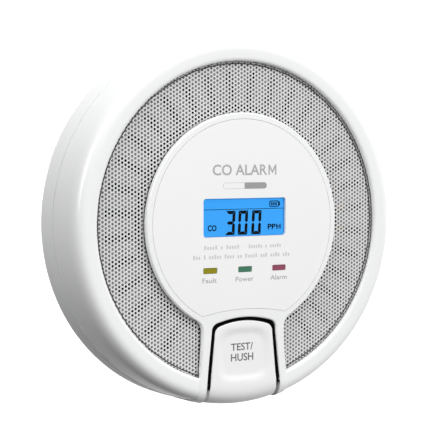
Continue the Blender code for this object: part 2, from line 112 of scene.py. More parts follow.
scene = bpy.context.scene
scene.view_settings.view_transform = "Standard"

AIM = Vector((0.0, -0.0255, 0.0))
AZIMUTH, ELEVATION, DISTANCE, ROLL = radians(-31.08), radians(3.10), 0.4165, radians(0.11)
camera = bpy.data.objects.new("camera", bpy.data.cameras.new("camera"))
scene.collection.objects.link(camera)
towards = Vector((sin(AZIMUTH) * cos(ELEVATION), -cos(AZIMUTH) * cos(ELEVATION), sin(ELEVATION)))
camera.location = AIM + DISTANCE * towards
camera.rotation_mode = "QUATERNION"
camera.rotation_quaternion = (AIM - camera.location).to_track_quat("-Z", "Y") @ Quaternion((0, 0, 1), ROLL)
camera.data.lens = 116.8
camera.data.sensor_width = 36.0
camera.data.shift_x, camera.data.shift_y = -0.0662, 0.0175
camera.data.clip_start = 0.01
scene.camera = camera

world = bpy.data.worlds.new("studio")
scene.world = world
world.use_nodes = True
sky = Board(world.node_tree)
across, upward = (sky.node("ShaderNodeSeparateXYZ", None, {0: sky.node("ShaderNodeTexCoord")}, axis)
                  for axis in "XZ")
shade_side = across * -0.80 + upward * -0.60
glow = sky.ramp(shade_side, -0.26, 0.61, 1.03, 0.0)
background = sky.node("ShaderNodeBackground", None, {"Color": (1.0, 1.0, 1.0, 1.0), "Strength": glow})
sky.node("ShaderNodeOutputWorld", None, {0: background})


def softbox(name, place, size, power):
    """A square area light that points at the alarm."""
    lamp = bpy.data.lights.new(name, "AREA")
    lamp.size = size
    lamp.energy = power
    stand = bpy.data.objects.new(name, lamp)
    scene.collection.objects.link(stand)
    stand.location = place
    stand.rotation_euler = (AIM - stand.location).to_track_quat("-Z", "Y").to_euler()


softbox("key_light", (0.45, -1.15, 1.05), 0.9, 10.5)
softbox("side_light", (-1.25, -0.40, 0.55), 0.8, 11.0)

bpy.ops.object.select_all(action="DESELECT")
bpy.ops.mesh.primitive_plane_add(size=60.0, location=(0.0, 0.0, -0.42))
floor = bpy.context.active_object
floor.name = "studio_floor"
bpy.ops.object.transform_apply(location=True)
floor.visible_diffuse = False
floor.visible_glossy = False
paint = bpy.data.materials.new("studio_floor_paint")
paint.use_nodes = True
board = Board(paint.node_tree)
place = board.node("ShaderNodeTexCoord", output=3)
mottle = board.node("ShaderNodeTexNoise", None, {"Vector": place, "Scale": 3.0})
white = board.mix(mottle, (0.96, 0.96, 0.96, 1.0), (1.0, 1.0, 1.0, 1.0))
surface = board.node("ShaderNodeBsdfPrincipled", None, {
    "Base Color": white, "Roughness": 0.9, "Emission Color": (1.0, 1.0, 1.0, 1.0), "Emission Strength": 0.55})
board.node("ShaderNodeOutputMaterial", None, {0: surface})
floor.data.materials.append(paint)


# ------------------------------------------------------------- front cover
# The front cover is one moulding in gloss white plastic: a turned rim and side, a sunk ring
# with 36 slots under the grille, the round centre, and two legs that run down over the rim
# on either side of the key. Its inside, slots and deep walls are painted black as shade, and
# the floor under the grille grey as shade. It is screwed to the back shell from behind.

MM = 0.001
FACE_D = 26.58                # the middle of the face, out from the wall
DOME = 2.7e-7                 # the face falls by DOME * radius ** 4
FLAT_FROM = 32.0              # past this radius the legs run on nearly level
FLOOR_D = 23.3                # the slotted floor under the grille
FOOT_D = 24.8                 # below this the channel's walls are painted black as shade
SEAM_D = 11.4                 # seam to the back shell
ISLAND_R = 32.8
SLOT_COUNT, SLOT_INNER, SLOT_OUTER, SLOT_WIDE = 36, 36.0, 45.0, 2.3


def arc(radius, start, end, steps, centre=(0.0, 0.0)):
    """Points of an arc from one angle to another, in degrees."""
    turns = [radians(start + (end - start) * i / steps) for i in range(steps + 1)]
    return [(centre[0] + radius * cos(a), centre[1] + radius * sin(a)) for a in turns]


def filleted(corners, steps=6):
    """An outline of (x, y, radius) corners with each corner rounded to its radius."""
    made = []
    for i, (x, y, radius) in enumerate(corners):
        here = Vector((x, y))
        if not radius:
            made.append((x, y))
            continue
        before = (Vector(corners[i - 1][:2]) - here).normalized()
        after = (Vector(corners[(i + 1) % len(corners)][:2]) - here).normalized()
        half = before.angle(after) / 2
        centre = here + (before + after).normalized() * radius / sin(half)
        first = here + before * radius / tan(half) - centre
        last = here + after * radius / tan(half) - centre
        sweep = first.angle_signed(last)
        for k in range(steps + 1):
            turn = -sweep * k / steps
            made.append((centre.x + first.x * cos(turn) - first.y * sin(turn),
                         centre.y + first.x * sin(turn) + first.y * cos(turn)))
    return made


def bend(first, pull_out, pull_in, last, steps=12):
    """A smooth Bezier bend in a section."""
    knots = [Vector((*p, 0.0)) for p in (first, pull_out, pull_in, last)]
    return [(p.x, p.y) for p in interpolate_bezier(*knots, steps + 1)]


def edit(piece, kind="VERT"):
    """Opens a piece in edit mode with all of it selected."""
    if bpy.context.mode != "OBJECT":
        bpy.ops.object.mode_set(mode="OBJECT")
    bpy.ops.object.select_all(action="DESELECT")
    bpy.context.view_layer.objects.active = piece
    piece.select_set(True)
    bpy.ops.object.mode_set(mode="EDIT")
    bpy.ops.mesh.select_mode(type=kind)
    bpy.ops.mesh.select_all(action="SELECT")


def done():
    bpy.ops.object.mode_set(mode="OBJECT")
    return bpy.context.active_object


def pen(name, points):
    """A line of vertices drawn from point to point in millimetres: one vertex, extruded along it."""
    if bpy.context.mode != "OBJECT":
        bpy.ops.object.mode_set(mode="OBJECT")
    bpy.ops.object.select_all(action="DESELECT")
    route = [Vector(p) * MM for p in points]
    bpy.ops.mesh.primitive_plane_add(size=0.001, location=route[0])
    bpy.ops.object.transform_apply(location=True)
    piece = bpy.context.active_object
    piece.name = name
    edit(piece)
    bpy.ops.mesh.merge(type="CENTER")
    for here, there in zip(route, route[1:]):
        bpy.ops.mesh.extrude_region_move(TRANSFORM_OT_translate={"value": there - here})
    bpy.ops.mesh.select_all(action="SELECT")
    bpy.ops.mesh.remove_doubles(threshold=1e-7)
    return piece


def turned(name, section, steps=192, sweep=360.0, start=0.0):
    """A closed section of (radius, distance out) points, spun round the alarm's axis."""
    first = radians(start)
    piece = pen(name, [(r * cos(first), -d, r * sin(first)) for r, d in [*section, section[0]]])
    bpy.ops.mesh.select_all(action="SELECT")
    if sweep < 360.0:
        bpy.ops.mesh.edge_face_add()
    bpy.ops.mesh.spin(steps=steps, angle=radians(sweep), center=(0, 0, 0), axis=(0, 1, 0))
    bpy.ops.mesh.select_all(action="SELECT")
    bpy.ops.mesh.remove_doubles(threshold=1e-7)
    bpy.ops.mesh.dissolve_degenerate(threshold=1e-8)
    bpy.ops.mesh.select_all(action="SELECT")
    bpy.ops.mesh.normals_make_consistent(inside=False)
    return done()


def punched(name, outline, d_out, d_in):
    """A flat outline of (x, z) points, filled and extruded towards the wall."""
    piece = pen(name, [(x, -d_out, z) for x, z in [*outline, outline[0]]])
    bpy.ops.mesh.select_all(action="SELECT")
    bpy.ops.mesh.edge_face_add()
    bpy.ops.mesh.extrude_region_move(TRANSFORM_OT_translate={"value": (0, (d_out - d_in) * MM, 0)})
    bpy.ops.mesh.select_all(action="SELECT")
    bpy.ops.mesh.normals_make_consistent(inside=False)
    return done()


def joined(name, pieces):
    """Several pieces as one mesh."""
    bpy.ops.object.select_all(action="DESELECT")
    for piece in pieces:
        piece.select_set(True)
    bpy.context.view_layer.objects.active = pieces[0]
    bpy.ops.object.join()
    pieces[0].name = name
    return pieces[0]


def fitted(piece, tool, operation):
    """Cuts or welds a piece with a tool by an exact Boolean, and takes the tool away."""
    step = piece.modifiers.new("fit", "BOOLEAN")
    step.operation = operation
    step.solver = "EXACT"
    step.object = tool
    bpy.ops.object.select_all(action="DESELECT")
    bpy.context.view_layer.objects.active = piece
    piece.select_set(True)
    bpy.ops.object.modifier_apply(modifier=step.name)
    bpy.data.objects.remove(tool)
    return piece


def mended(piece, weld, fill):
    """Welds slivers left by cutting and, if asked, closes any face a cut has dropped."""
    edit(piece)
    bpy.ops.mesh.remove_doubles(threshold=weld * MM)
    bpy.ops.mesh.select_all(action="DESELECT")
    bpy.ops.mesh.select_non_manifold(extend=False, use_wire=False, use_boundary=True, use_multi_face=False,
                                     use_non_contiguous=False, use_verts=False)
    if fill:
        bpy.ops.mesh.fill_holes(sides=8)
    bpy.ops.mesh.select_all(action="SELECT")
    bpy.ops.mesh.normals_make_consistent(inside=False)
    return done()


def pick(piece, kind, test):
    """Selects the parts of a mesh in edit mode that pass a test of place, in millimetres."""
    bpy.ops.mesh.select_mode(type=kind)
    bpy.ops.mesh.select_all(action="DESELECT")
    mesh = bmesh.from_edit_mesh(piece.data)
    parts = {"VERT": mesh.verts, "EDGE": mesh.edges, "FACE": mesh.faces}[kind]
    for part in parts:
        spots = [part.co] if kind == "VERT" else [v.co for v in part.verts]
        if all(test(v.x / MM, -v.y / MM, v.z / MM) for v in spots):
            part.select = True
    mesh.select_flush_mode()
    bmesh.update_edit_mesh(piece.data)


def sliced(piece, across=(), down=()):
    """Cuts a mesh along planes of constant x and of constant z, so that it can be bent."""
    edit(piece)
    for places, normal in ((across, (1, 0, 0)), (down, (0, 0, 1))):
        for place in places:
            bpy.ops.mesh.select_all(action="SELECT")
            bpy.ops.mesh.bisect(plane_co=(place * MM if normal[0] else 0, 0, place * MM if normal[2] else 0),
                                plane_no=normal, threshold=1e-7)
    return done()


def steps_between(low, high, pitch):
    count = max(1, round((high - low) / pitch))
    return [low + (high - low) * i / count for i in range(count + 1)]


class Run:
    """A section followed by its length: the face, down over the rim's edge and on down the side."""

    def __init__(self, points):
        self.points = points
        self.lengths = [points[0][0]]
        for (r0, d0), (r1, d1) in zip(points, points[1:]):
            self.lengths.append(self.lengths[-1] + hypot(r1 - r0, d1 - d0))

    def at(self, length):
        """Radius, distance out, and the two parts of the outward normal."""
        i = 1
        while i < len(self.lengths) - 1 and self.lengths[i] < length:
            i += 1
        share = (length - self.lengths[i - 1]) / (self.lengths[i] - self.lengths[i - 1])
        (r0, d0), (r1, d1) = self.points[i - 1], self.points[i]
        span = hypot(r1 - r0, d1 - d0)
        return r0 + (r1 - r0) * share, d0 + (d1 - d0) * share, (d0 - d1) / span, (r1 - r0) / span


def pressed(piece, run, bend_from, thick, thin):
    """Presses a flat piece onto a run. Its thickness goes from thick to thin past the bend."""
    for vertex in piece.data.vertices:
        x, height, z = vertex.co.x / MM, -vertex.co.y / MM, vertex.co.z / MM
        length = hypot(x, z)
        if length < bend_from:
            vertex.co.y = -(run.at(length)[1] + height) * MM
            continue
        share = min(1.0, (length - bend_from) / 3.0)
        height *= 1 + (thin / thick - 1) * share
        r, d, out_r, out_d = run.at(length)
        r += height * out_r * share
        d += height * out_d
        vertex.co = Vector((x, -d, -sqrt(r * r - x * x))) * MM
    piece.data.update()


def smoothed(piece, angle=32.0):
    bpy.ops.object.select_all(action="DESELECT")
    bpy.context.view_layer.objects.active = piece
    piece.select_set(True)
    bpy.ops.object.shade_smooth_by_angle(angle=radians(angle))
    step = piece.modifiers.new("normals", "WEIGHTED_NORMAL")
    step.keep_sharp = True
    step.weight = 80
    bpy.ops.object.modifier_apply(modifier=step.name)


def face_d(radius):
    """How far out the face is: a shallow dome that the legs leave almost level."""
    inner = min(radius, FLAT_FROM)
    return FACE_D - DOME * inner ** 4 - 0.14 * (1 - exp(-max(radius - FLAT_FROM, 0.0) / 4.0))


LEG_BEND, LEG_END_D = 50.3, 12.0
leg_run = Run([(r, face_d(r)) for r in (0, 8, 16, 22, 26, 29, 32, 33.5, 35, 37, 40, 44)]
              + bend((LEG_BEND, face_d(LEG_BEND)), (53.2, face_d(LEG_BEND)), (55.1, 24.9), (55.4, 20.8))
              + [(55.66, LEG_END_D)])
leg_length = leg_run.lengths[-1]

rim_section = ([(31.0, 24.1), (31.2, 19.6), (35.9, 19.6), (36.1, 21.9), (49.2, 21.9),
                (49.9, 24.0), (51.8, 24.0), (52.8, 22.0), (53.2, 17.0),
                (53.3, SEAM_D + 0.04), (55.2, SEAM_D + 0.04), (55.34, SEAM_D + 0.1), (55.38, SEAM_D + 0.3),
                (55.3, 14.0), (55.2, 17.0), (55.05, 19.5)]
               + bend((54.93, 21.0), (54.6, 24.7), (53.4, 26.0), (51.0, 26.0))
               + [(50.0, 26.0)]
               + bend((49.2, 26.0), (48.5, 26.0), (48.05, 25.7), (48.0, 25.2), 5)
               + [(48.0, FOOT_D), (48.3, FOOT_D - 0.1), (48.3, 24.42), (48.7, 24.42), (48.7, 23.8),
                  (48.0, 23.8), (47.8, FLOOR_D), (35.3, FLOOR_D), (35.2, FLOOR_D - 0.1), (35.0, 20.6),
                  (33.3, 20.6), (33.1, 23.4), (32.4, 24.1)])
front = turned("front_shell", rim_section, 240)

slots = []
for i in range(SLOT_COUNT):
    angle = 5.0 + 360.0 / SLOT_COUNT * i
    middle = 40.5 * cos(radians(angle))
    if sin(radians(angle)) < 0 and abs(middle) < 21.0:
        continue
    half = SLOT_WIDE / 2
    along = Vector((cos(radians(angle)), sin(radians(angle))))
    side = Vector((-along.y, along.x))
    ends = [along * SLOT_INNER + side * half, along * SLOT_INNER - side * half,
            along * SLOT_OUTER - side * half, along * SLOT_OUTER + side * half]
    slots.append(punched("slot", [tuple(p) for p in ends], FLOOR_D + 0.3, 21.0))
fitted(front, joined("slots", slots), "DIFFERENCE")

CROWN_TOP, CROWN_CURVE = -28.3, 0.0163
crown = [(x, CROWN_TOP - CROWN_CURVE * x * x) for x in steps_between(-8.0, 8.0, 1.6)]


def key_opening(play, foot):
    """The opening round the key, from its right foot up, over the crown and down to its left foot."""
    corner = (10.95 + play, -30.15 + play, 2.3)
    right = [(13.0 + play, foot, 0), (12.95 + play, -50.0, 0), (11.1 + play, -33.0, 0), corner]
    over = [(x, z + play, 0) for x, z in reversed(crown)]
    left = [(-x, z, r) for x, z, r in reversed(right)]
    return filleted(right + over + left)


opening_tool = punched("opening_tool", key_opening(0.05, -61.0), 31.0, 15.0)
fitted(front, opening_tool, "DIFFERENCE")

FILLET_R = 4.0
LEG_TOP_X = 14.2
fillet_x = LEG_TOP_X + FILLET_R
fillet_z = -sqrt((ISLAND_R + FILLET_R) ** 2 - fillet_x ** 2)
tangent = degrees(atan2(fillet_z, fillet_x))
fillet_right = arc(FILLET_R, 180.0, 180.0 + tangent, 10, (fillet_x, fillet_z))
leg_right = [(15.6, -leg_length), (15.6, -52.0), (15.4, -48.0), (15.05, -45.5), (14.75, -42.5), (14.5, -39.5),
             (14.3, -36.0), (14.22, -33.5)] + fillet_right
leg_left = [(-x, z) for x, z in reversed(leg_right)]
island = arc(ISLAND_R, tangent, 180.0 - tangent, 150)
whole = leg_right[:-1] + island + leg_left[1:] + [(x, z) for x, z in reversed(key_opening(0.0, -leg_length))]
FACE_THICK, LEG_THIN = 3.4, 1.7
face = punched("face", whole, 0.0, -FACE_THICK)
edit(face, "EDGE")
pick(face, "EDGE", lambda x, d, z: d > -0.01 and z > -leg_length + 0.01)
bpy.ops.mesh.bevel(offset=0.5 * MM, segments=4, profile=0.5, affect="EDGES", clamp_overlap=True)
done()
edit(face)
bpy.ops.mesh.bisect(plane_co=(0, (face_d(ISLAND_R) - FOOT_D) * MM, 0), plane_no=(0, 1, 0), threshold=1e-7)
done()
sliced(face, across=[s * x for x in (2, 5, 8, 11, 14, 17, 21, 25, 29) for s in (-1, 1)],
       down=steps_between(-leg_length + 0.8, -46.0, 0.8) + steps_between(-43.0, 30.0, 4.0))

FILM_R, FILM_ARC_R, FILM_ARC_Z = 30.9, 68.0, -25.8
film_low = FILM_ARC_Z - FILM_ARC_R


def film_outline(radius, arc_radius):
    """The disc of the face film with its foot cut to an arc over the key."""
    drop = (radius ** 2 - arc_radius ** 2 + film_low ** 2) / (2 * film_low)
    half = sqrt(radius ** 2 - drop ** 2)
    rim_angle = degrees(atan2(drop, half))
    foot_angle = degrees(atan2(drop - film_low, half))
    foot = arc(arc_radius, 180.0 - foot_angle, foot_angle, 24, (0.0, film_low))
    return arc(radius, rim_angle, 180.0 - rim_angle, 144) + foot[1:-1]


fitted(face, punched("film_bed", film_outline(FILM_R + 0.05, FILM_ARC_R - 0.03), 1.0, -0.55), "DIFFERENCE")

WINDOW = (0.0, 1.63, 28.6, 11.4, 0.9)
LEDS = {"fault": -11.96, "power": 0.0, "alarm": 11.96}
LED_Z, LED_WIDE, LED_HIGH, LED_ROUND = -13.9, 4.8, 1.75, 0.35


def rounded(x, z, wide, high, radius, steps=5):
    half_x, half_z = wide / 2, high / 2
    return filleted([(x + half_x, z - half_z, radius), (x + half_x, z + half_z, radius),
                     (x - half_x, z + half_z, radius), (x - half_x, z - half_z, radius)], steps)


def window_tools(play, d_out, d_in):
    """Tools for the display window and the three lamp windows."""
    x, z, wide, high, radius = WINDOW
    tools = [punched("tool", rounded(x, z, wide + play, high + play, radius), d_out, d_in)]
    for place in LEDS.values():
        hole = rounded(place, LED_Z, LED_WIDE + play, LED_HIGH + play, LED_ROUND)
        tools.append(punched("tool", hole, d_out, d_in))
    return joined("tools", tools)


fitted(face, window_tools(0.0, 1.0, -5.0), "DIFFERENCE")
pressed(face, leg_run, 46.0, FACE_THICK, LEG_THIN)
fitted(front, face, "UNION")

bed_section = [(49.0, 20.3), (49.25, 21.6), (50.6, 21.7), (51.8, 20.5), (52.6, 18.5), (52.9, 15.0),
               (54.0, 14.6), (54.0, 13.0), (51.4, 13.0), (51.2, 18.0), (50.6, 19.2)]
bed = turned("key_bed", bed_section, 24, 32.0, -106.0)
fitted(front, bed, "UNION")
shelf = turned("key_shelf", [(26.4, 19.3), (34.0, 19.3), (34.0, 20.3), (26.4, 20.3)], 24, 50.0, -115.0)
fitted(front, shelf, "UNION")
mended(front, 0.008, False)
smoothed(front)


def grained(name, colour, roughness, grain, coat=0.0, shift=0.02):
    """Moulded plastic: faint flow in the colour, a fine spark-eroded grain, uneven gloss."""
    finish = bpy.data.materials.new(name)
    finish.use_nodes = True
    made = Board(finish.node_tree)
    spot = made.node("ShaderNodeTexCoord", output=3)
    flow = made.node("ShaderNodeTexNoise", None, {"Vector": spot, "Scale": 28.0, "Detail": 2.0})
    fine = made.node("ShaderNodeTexNoise", None, {"Vector": spot, "Scale": 5200.0, "Detail": 1.0})
    soft = made.node("ShaderNodeTexNoise", None, {"Vector": spot, "Scale": 420.0, "Detail": 3.0})
    dark = tuple(c * (1.0 - shift) for c in colour)
    light = tuple(min(1.0, c * (1.0 + shift)) for c in colour)
    base = made.mix(flow, (*dark, 1.0), (*light, 1.0))
    sheen = roughness - 0.04 + soft * 0.05 + flow * 0.03
    bump = made.node("ShaderNodeBump", None, {
        "Strength": grain, "Distance": 0.00004, "Height": fine + soft * 0.5})
    shader = made.node("ShaderNodeBsdfPrincipled", None, {
        "Base Color": base, "Roughness": sheen, "Normal": bump, "Coat Weight": coat, "Coat Roughness": 0.12,
        "Specular IOR Level": 0.5})
    made.node("ShaderNodeOutputMaterial", None, {0: shader})
    return finish


white_gloss = grained("white_gloss_plastic", (0.86, 0.865, 0.87), 0.30, 0.10, coat=0.15)
painted_shade_black = grained("matt_black_screen", (0.012, 0.012, 0.012), 0.75, 0.2)
front.data.materials.clear()
front.data.materials.append(white_gloss)
front.data.materials.append(painted_shade_black)
front.data.materials.append(grained("grey_sprayed_floor", (0.50, 0.50, 0.505), 0.6, 0.2))


def in_painted_shade(x, d, z, facing_out):
    """The inside of the cover, the slots, the channel's lower walls and the walls round the key and its
    shelf: painted black as shade.
    """
    radius = hypot(x, z)
    if facing_out < -0.5:
        return radius < 53.0
    wall = abs(facing_out) < 0.35
    in_channel = 30.5 < radius < 48.9 and 20.0 < d < FOOT_D and (wall or d < FLOOR_D - 1.0)
    by_key = abs(x) < 13.3 and z < -28.0 and wall and radius < 50.5 and d < face_d(radius) - 0.5
    on_shelf = abs(x) < 13.3 and -34.0 < z < -26.0 and d < 21.0
    return in_channel or by_key or on_shelf


# Faces deep in the gaps take the black painted shade.
for part in front.data.polygons:
    spot = part.center / MM
    out = -part.normal.y
    if in_painted_shade(spot.x, -spot.y, spot.z, out):
        part.material_index = 1
    # The white floor under the grille is painted grey as shade, for its shadow under the sheet.
    elif out > 0.9 and FLOOR_D - 0.2 < -spot.y < FLOOR_D + 0.2:
        part.material_index = 2
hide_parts("front_cover")
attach(front, "case")


# ----------------------------------------------------------- speaker grille
# A ring of thin perforated steel over the slots, with round holes in staggered columns, let
# into the cover's walls at its edges. Painted light silver-grey.

PITCH, HOLE_R, SHEET = 1.2, 0.425, (24.3, 23.95)
column = PITCH * sqrt(3) / 2
bpy.ops.object.select_all(action="DESELECT")
bpy.ops.mesh.primitive_circle_add(vertices=12, radius=HOLE_R * MM, rotation=(pi / 2, 0, 0))
grille = bpy.context.active_object
grille.name = "perforated_ring"
bpy.ops.object.transform_apply(location=False, rotation=True)
edit(grille)
bpy.ops.mesh.extrude_edges_move()
bpy.ops.transform.resize(value=(1.6, 1.0, 1.6))
cell = bmesh.from_edit_mesh(grille.data)
for vertex in cell.verts:
    if hypot(vertex.co.x, vertex.co.z) > HOLE_R * 1.3 * MM:
        turn = atan2(vertex.co.z, vertex.co.x)
        is_corner = round(degrees(turn)) % 60 == 0
        reach = PITCH / sqrt(3) if is_corner else PITCH / 2
        vertex.co.x, vertex.co.z = reach * cos(turn) * MM, reach * sin(turn) * MM
bmesh.update_edit_mesh(grille.data)
pick(grille, "VERT", lambda x, d, z: hypot(x, z) > HOLE_R * 1.3 and round(degrees(atan2(z, x))) % 60 != 0)
bpy.ops.mesh.dissolve_verts()
bpy.ops.mesh.select_all(action="SELECT")
bpy.ops.mesh.duplicate_move(TRANSFORM_OT_translate={"value": (column * MM, 0, PITCH / 2 * MM)})
bpy.ops.mesh.select_all(action="SELECT")
reach = 49.2
columns, rows = int(reach / column), int(2 * reach / PITCH) + 2
corner = (-(columns // 2 * 2) * column * MM, -SHEET[0] * MM, -(rows // 2) * PITCH * MM)
bpy.ops.transform.translate(value=corner)
done()
for count, offset in ((rows, (0.0, 0.0, PITCH * MM)), (columns + 1, (2 * column * MM, 0.0, 0.0))):
    step = grille.modifiers.new("repeat", "ARRAY")
    step.count = count
    step.use_relative_offset = False
    step.use_constant_offset = True
    step.constant_offset_displace = offset
    step.use_merge_vertices = False
    bpy.ops.object.modifier_apply(modifier=step.name)


def in_channel(x, z):
    """True where the sheet shows, with a margin that runs into the walls."""
    radius = hypot(x, z)
    if not 32.2 < radius < 48.5:
        return False
    return z > -27.0 or abs(x) > 13.6


edit(grille, "FACE")
bpy.ops.mesh.select_all(action="DESELECT")
mesh = bmesh.from_edit_mesh(grille.data)
for face_part in mesh.faces:
    middle = face_part.calc_center_median() / MM
    col = round(middle.x / column)
    shift = PITCH / 2 if col % 2 else 0.0
    row = round((middle.z - shift) / PITCH) * PITCH + shift
    face_part.select = not in_channel(col * column, row)
bmesh.update_edit_mesh(grille.data)
bpy.ops.mesh.delete(type="FACE")
bpy.ops.mesh.select_mode(type="VERT")
bpy.ops.mesh.select_all(action="SELECT")
bpy.ops.mesh.remove_doubles(threshold=1e-6)
bpy.ops.mesh.select_all(action="SELECT")
bpy.ops.mesh.normals_make_consistent(inside=False)
done()
step = grille.modifiers.new("thickness", "SOLIDIFY")
step.thickness = (SHEET[0] - SHEET[1]) * MM
step.offset = -1.0 if grille.data.polygons[0].normal.y < 0 else 1.0
bpy.ops.object.modifier_apply(modifier=step.name)
bpy.ops.object.shade_flat()


def metal(name, colour, metallic, roughness, scale=900.0, shift=0.06, grain=0.2):
    """Bare or painted metal: cloudy tone, fine brushed or sprayed grain."""
    finish = bpy.data.materials.new(name)
    finish.use_nodes = True
    made = Board(finish.node_tree)
    spot = made.node("ShaderNodeTexCoord", output=3)
    cloud = made.node("ShaderNodeTexNoise", None, {"Vector": spot, "Scale": scale / 12, "Detail": 3.0})
    fine = made.node("ShaderNodeTexNoise", None, {"Vector": spot, "Scale": scale * 4, "Detail": 2.0})
    dark = tuple(c * (1.0 - shift) for c in colour)
    light = tuple(min(1.0, c * (1.0 + shift)) for c in colour)
    base = made.mix(cloud, (*dark, 1.0), (*light, 1.0))
    bump = made.node("ShaderNodeBump", None, {"Strength": grain, "Distance": 0.00003, "Height": fine})
    shader = made.node("ShaderNodeBsdfPrincipled", None, {
        "Base Color": base, "Metallic": metallic, "Roughness": roughness - 0.05 + cloud * 0.1,
        "Normal": bump})
    made.node("ShaderNodeOutputMaterial", None, {0: shader})
    return finish


grille.data.materials.clear()
grille.data.materials.append(metal("silver_painted_steel", (0.71, 0.71, 0.715), 0.1, 0.42))
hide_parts("speaker_grille")
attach(grille, "case")

# A thin black ring on the sheet by the rim's lip: painted shadow, the dark line where the lip shades the
# sheet's edge.
shadow_ring_section = [(47.12, 24.2), (47.42, 24.2), (47.42, 24.36), (47.34, 24.42), (47.2, 24.42), (47.12, 24.36)]
shadow_ring = turned("grille_bead", shadow_ring_section, 216, 324.0, -72.0)
smoothed(shadow_ring)
shadow_ring.data.materials.clear()
shadow_ring.data.materials.append(grained("black_sealant", (0.03, 0.03, 0.03), 0.5, 0.1))
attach(shadow_ring, "case")


# ------------------------------------------------------------------ test key
# The key is a separate white moulding on a steel pin near its foot. Its face is level across
# the top, has a shallow dish for a fingertip, and rolls over the rim to the lower edge.

KEY_BEND = 49.2
key_run = Run([(0.0, 25.9), (28.0, 25.9), (31.5, 26.05), (41.0, 26.05)]
              + bend((KEY_BEND, 26.03), (52.9, 26.0), (54.95, 24.3), (55.1, 19.6))
              + [(55.3, 15.6)])
key_length = key_run.lengths[-1]
KEY_THICK, KEY_THIN = 4.0, 1.7
key_side = [(11.9, -key_length, 0), (11.75, -51.0, 0), (10.8, -41.0, 0), (10.1, -33.8, 0),
            (9.95, -31.15, 2.6)]
key_crown = [(x, -29.35 - 0.0185 * x * x, 0) for x in reversed(steps_between(-6.4, 6.4, 1.6))]
key_plan = filleted(key_side + key_crown + [(-x, z, r) for x, z, r in reversed(key_side)])
key = punched("test_key", key_plan, 0.0, -KEY_THICK)
edit(key, "EDGE")
pick(key, "EDGE", lambda x, d, z: d > -0.01)
bpy.ops.mesh.bevel(offset=0.36 * MM, segments=5, profile=0.5, affect="EDGES", clamp_overlap=True)
done()
sliced(key, across=steps_between(-11.4, 11.4, 0.6), down=steps_between(-key_length + 0.7, -30.4, 0.6))


def slope(value, low, high):
    """0 below low, 1 above high, and a smooth rise between them."""
    share = max(0.0, min(1.0, (value - low) / (high - low)))
    return share * share * (3 - 2 * share)


DISH = 0.5


def dish(x, z):
    """How far the fingertip dish sinks at a place on the key."""
    across = abs(x) / 9.5
    down = abs(z + 39.5 + 0.005 * x * x) / 8.5
    return DISH * (1.0 - slope((across ** 4 + down ** 4) ** 0.25, 0.70, 1.0))


for vertex in key.data.vertices:
    if -vertex.co.y / MM > -0.7:
        vertex.co.y += dish(vertex.co.x / MM, vertex.co.z / MM) * MM
pressed(key, key_run, 46.0, KEY_THICK, KEY_THIN)
smoothed(key, 40.0)
key.data.materials.clear()
key.data.materials.append(grained("white_key_plastic", (0.85, 0.85, 0.85), 0.33, 0.12, coat=0.1))
key.data.materials.append(painted_shade_black)
# The key's side walls below its top take the black painted shade of the gap round the key.
for part in key.data.polygons:
    spot = part.center / MM
    top = key_run.at(hypot(spot.x, spot.z))[1]
    if abs(part.normal.y) < 0.35 and -spot.y < top - 0.3 and spot.z > -49.5:
        part.material_index = 1
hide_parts("test_button")
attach(key, "test_button")

# ---------------------------------------------------------------- face film
# The centre of the face is a printed satin film stuck into a shallow bed, a disc with its foot
# cut to an arc over the key. A hairline gap shows all round it.

film = punched("face_film", film_outline(FILM_R - 0.05, FILM_ARC_R + 0.06), 0.0, -0.5)
sliced(film, across=steps_between(-28.0, 28.0, 4.0), down=steps_between(-24.0, 28.0, 4.0))
fitted(film, window_tools(0.0, 1.0, -2.0), "DIFFERENCE")
pressed(film, leg_run, 90.0, 1.0, 1.0)
smoothed(film)
film.data.materials.clear()
film.data.materials.append(grained("satin_film", (0.87, 0.87, 0.868), 0.36, 0.05, coat=0.0, shift=0.006))
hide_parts("face_overlay")
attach(film, "case")


# ----------------------------------------------------------------- printing
# Screen-printed marks on the film and a pad-printed mark on the key: captions under the lamps,
# a plain descriptor, an empty two-tone badge, and two lines of small print left as plain ticks.

INK = 0.012                   # how far the ink stands up


def on_face(x, z):
    return face_d(hypot(x, z))


def on_key(x, z):
    return key_run.at(hypot(x, z))[1] - dish(x, z)


def laid(piece, surface, ink=INK):
    """Lays a flat, thin mark onto a surface."""
    for vertex in piece.data.vertices:
        x, z = vertex.co.x / MM, vertex.co.z / MM
        lift = ink if vertex.co.y < 0 else -ink
        vertex.co.y = -(surface(x, z) + lift) * MM
    piece.data.update()
    return piece


def lettering(text, left, right, low, high, weight=0.0):
    """A word in the plain built-in face, fitted to a box of x and z."""
    bpy.ops.object.select_all(action="DESELECT")
    bpy.ops.object.text_add()
    word = bpy.context.active_object
    word.data.body = text
    word.data.extrude = 0.01
    word.data.offset = weight
    word.data.resolution_u = 4
    bpy.ops.object.convert(target="MESH")
    word = bpy.context.active_object
    spots = [v.co for v in word.data.vertices]
    x0, x1 = min(v.x for v in spots), max(v.x for v in spots)
    y0, y1 = min(v.y for v in spots), max(v.y for v in spots)
    for vertex in word.data.vertices:
        x = left + (vertex.co.x - x0) / (x1 - x0) * (right - left)
        z = low + (vertex.co.y - y0) / (y1 - y0) * (high - low)
        vertex.co = Vector((x, -0.01 if vertex.co.z > 0 else 0.01, z)) * MM
    bpy.ops.object.mode_set(mode="EDIT")
    bpy.ops.mesh.select_all(action="SELECT")
    bpy.ops.mesh.remove_doubles(threshold=1e-8)
    bpy.ops.mesh.normals_make_consistent(inside=False)
    return done()


def mark(outline):
    """A flat printed shape."""
    return punched("mark", outline, 0.01, -0.01)


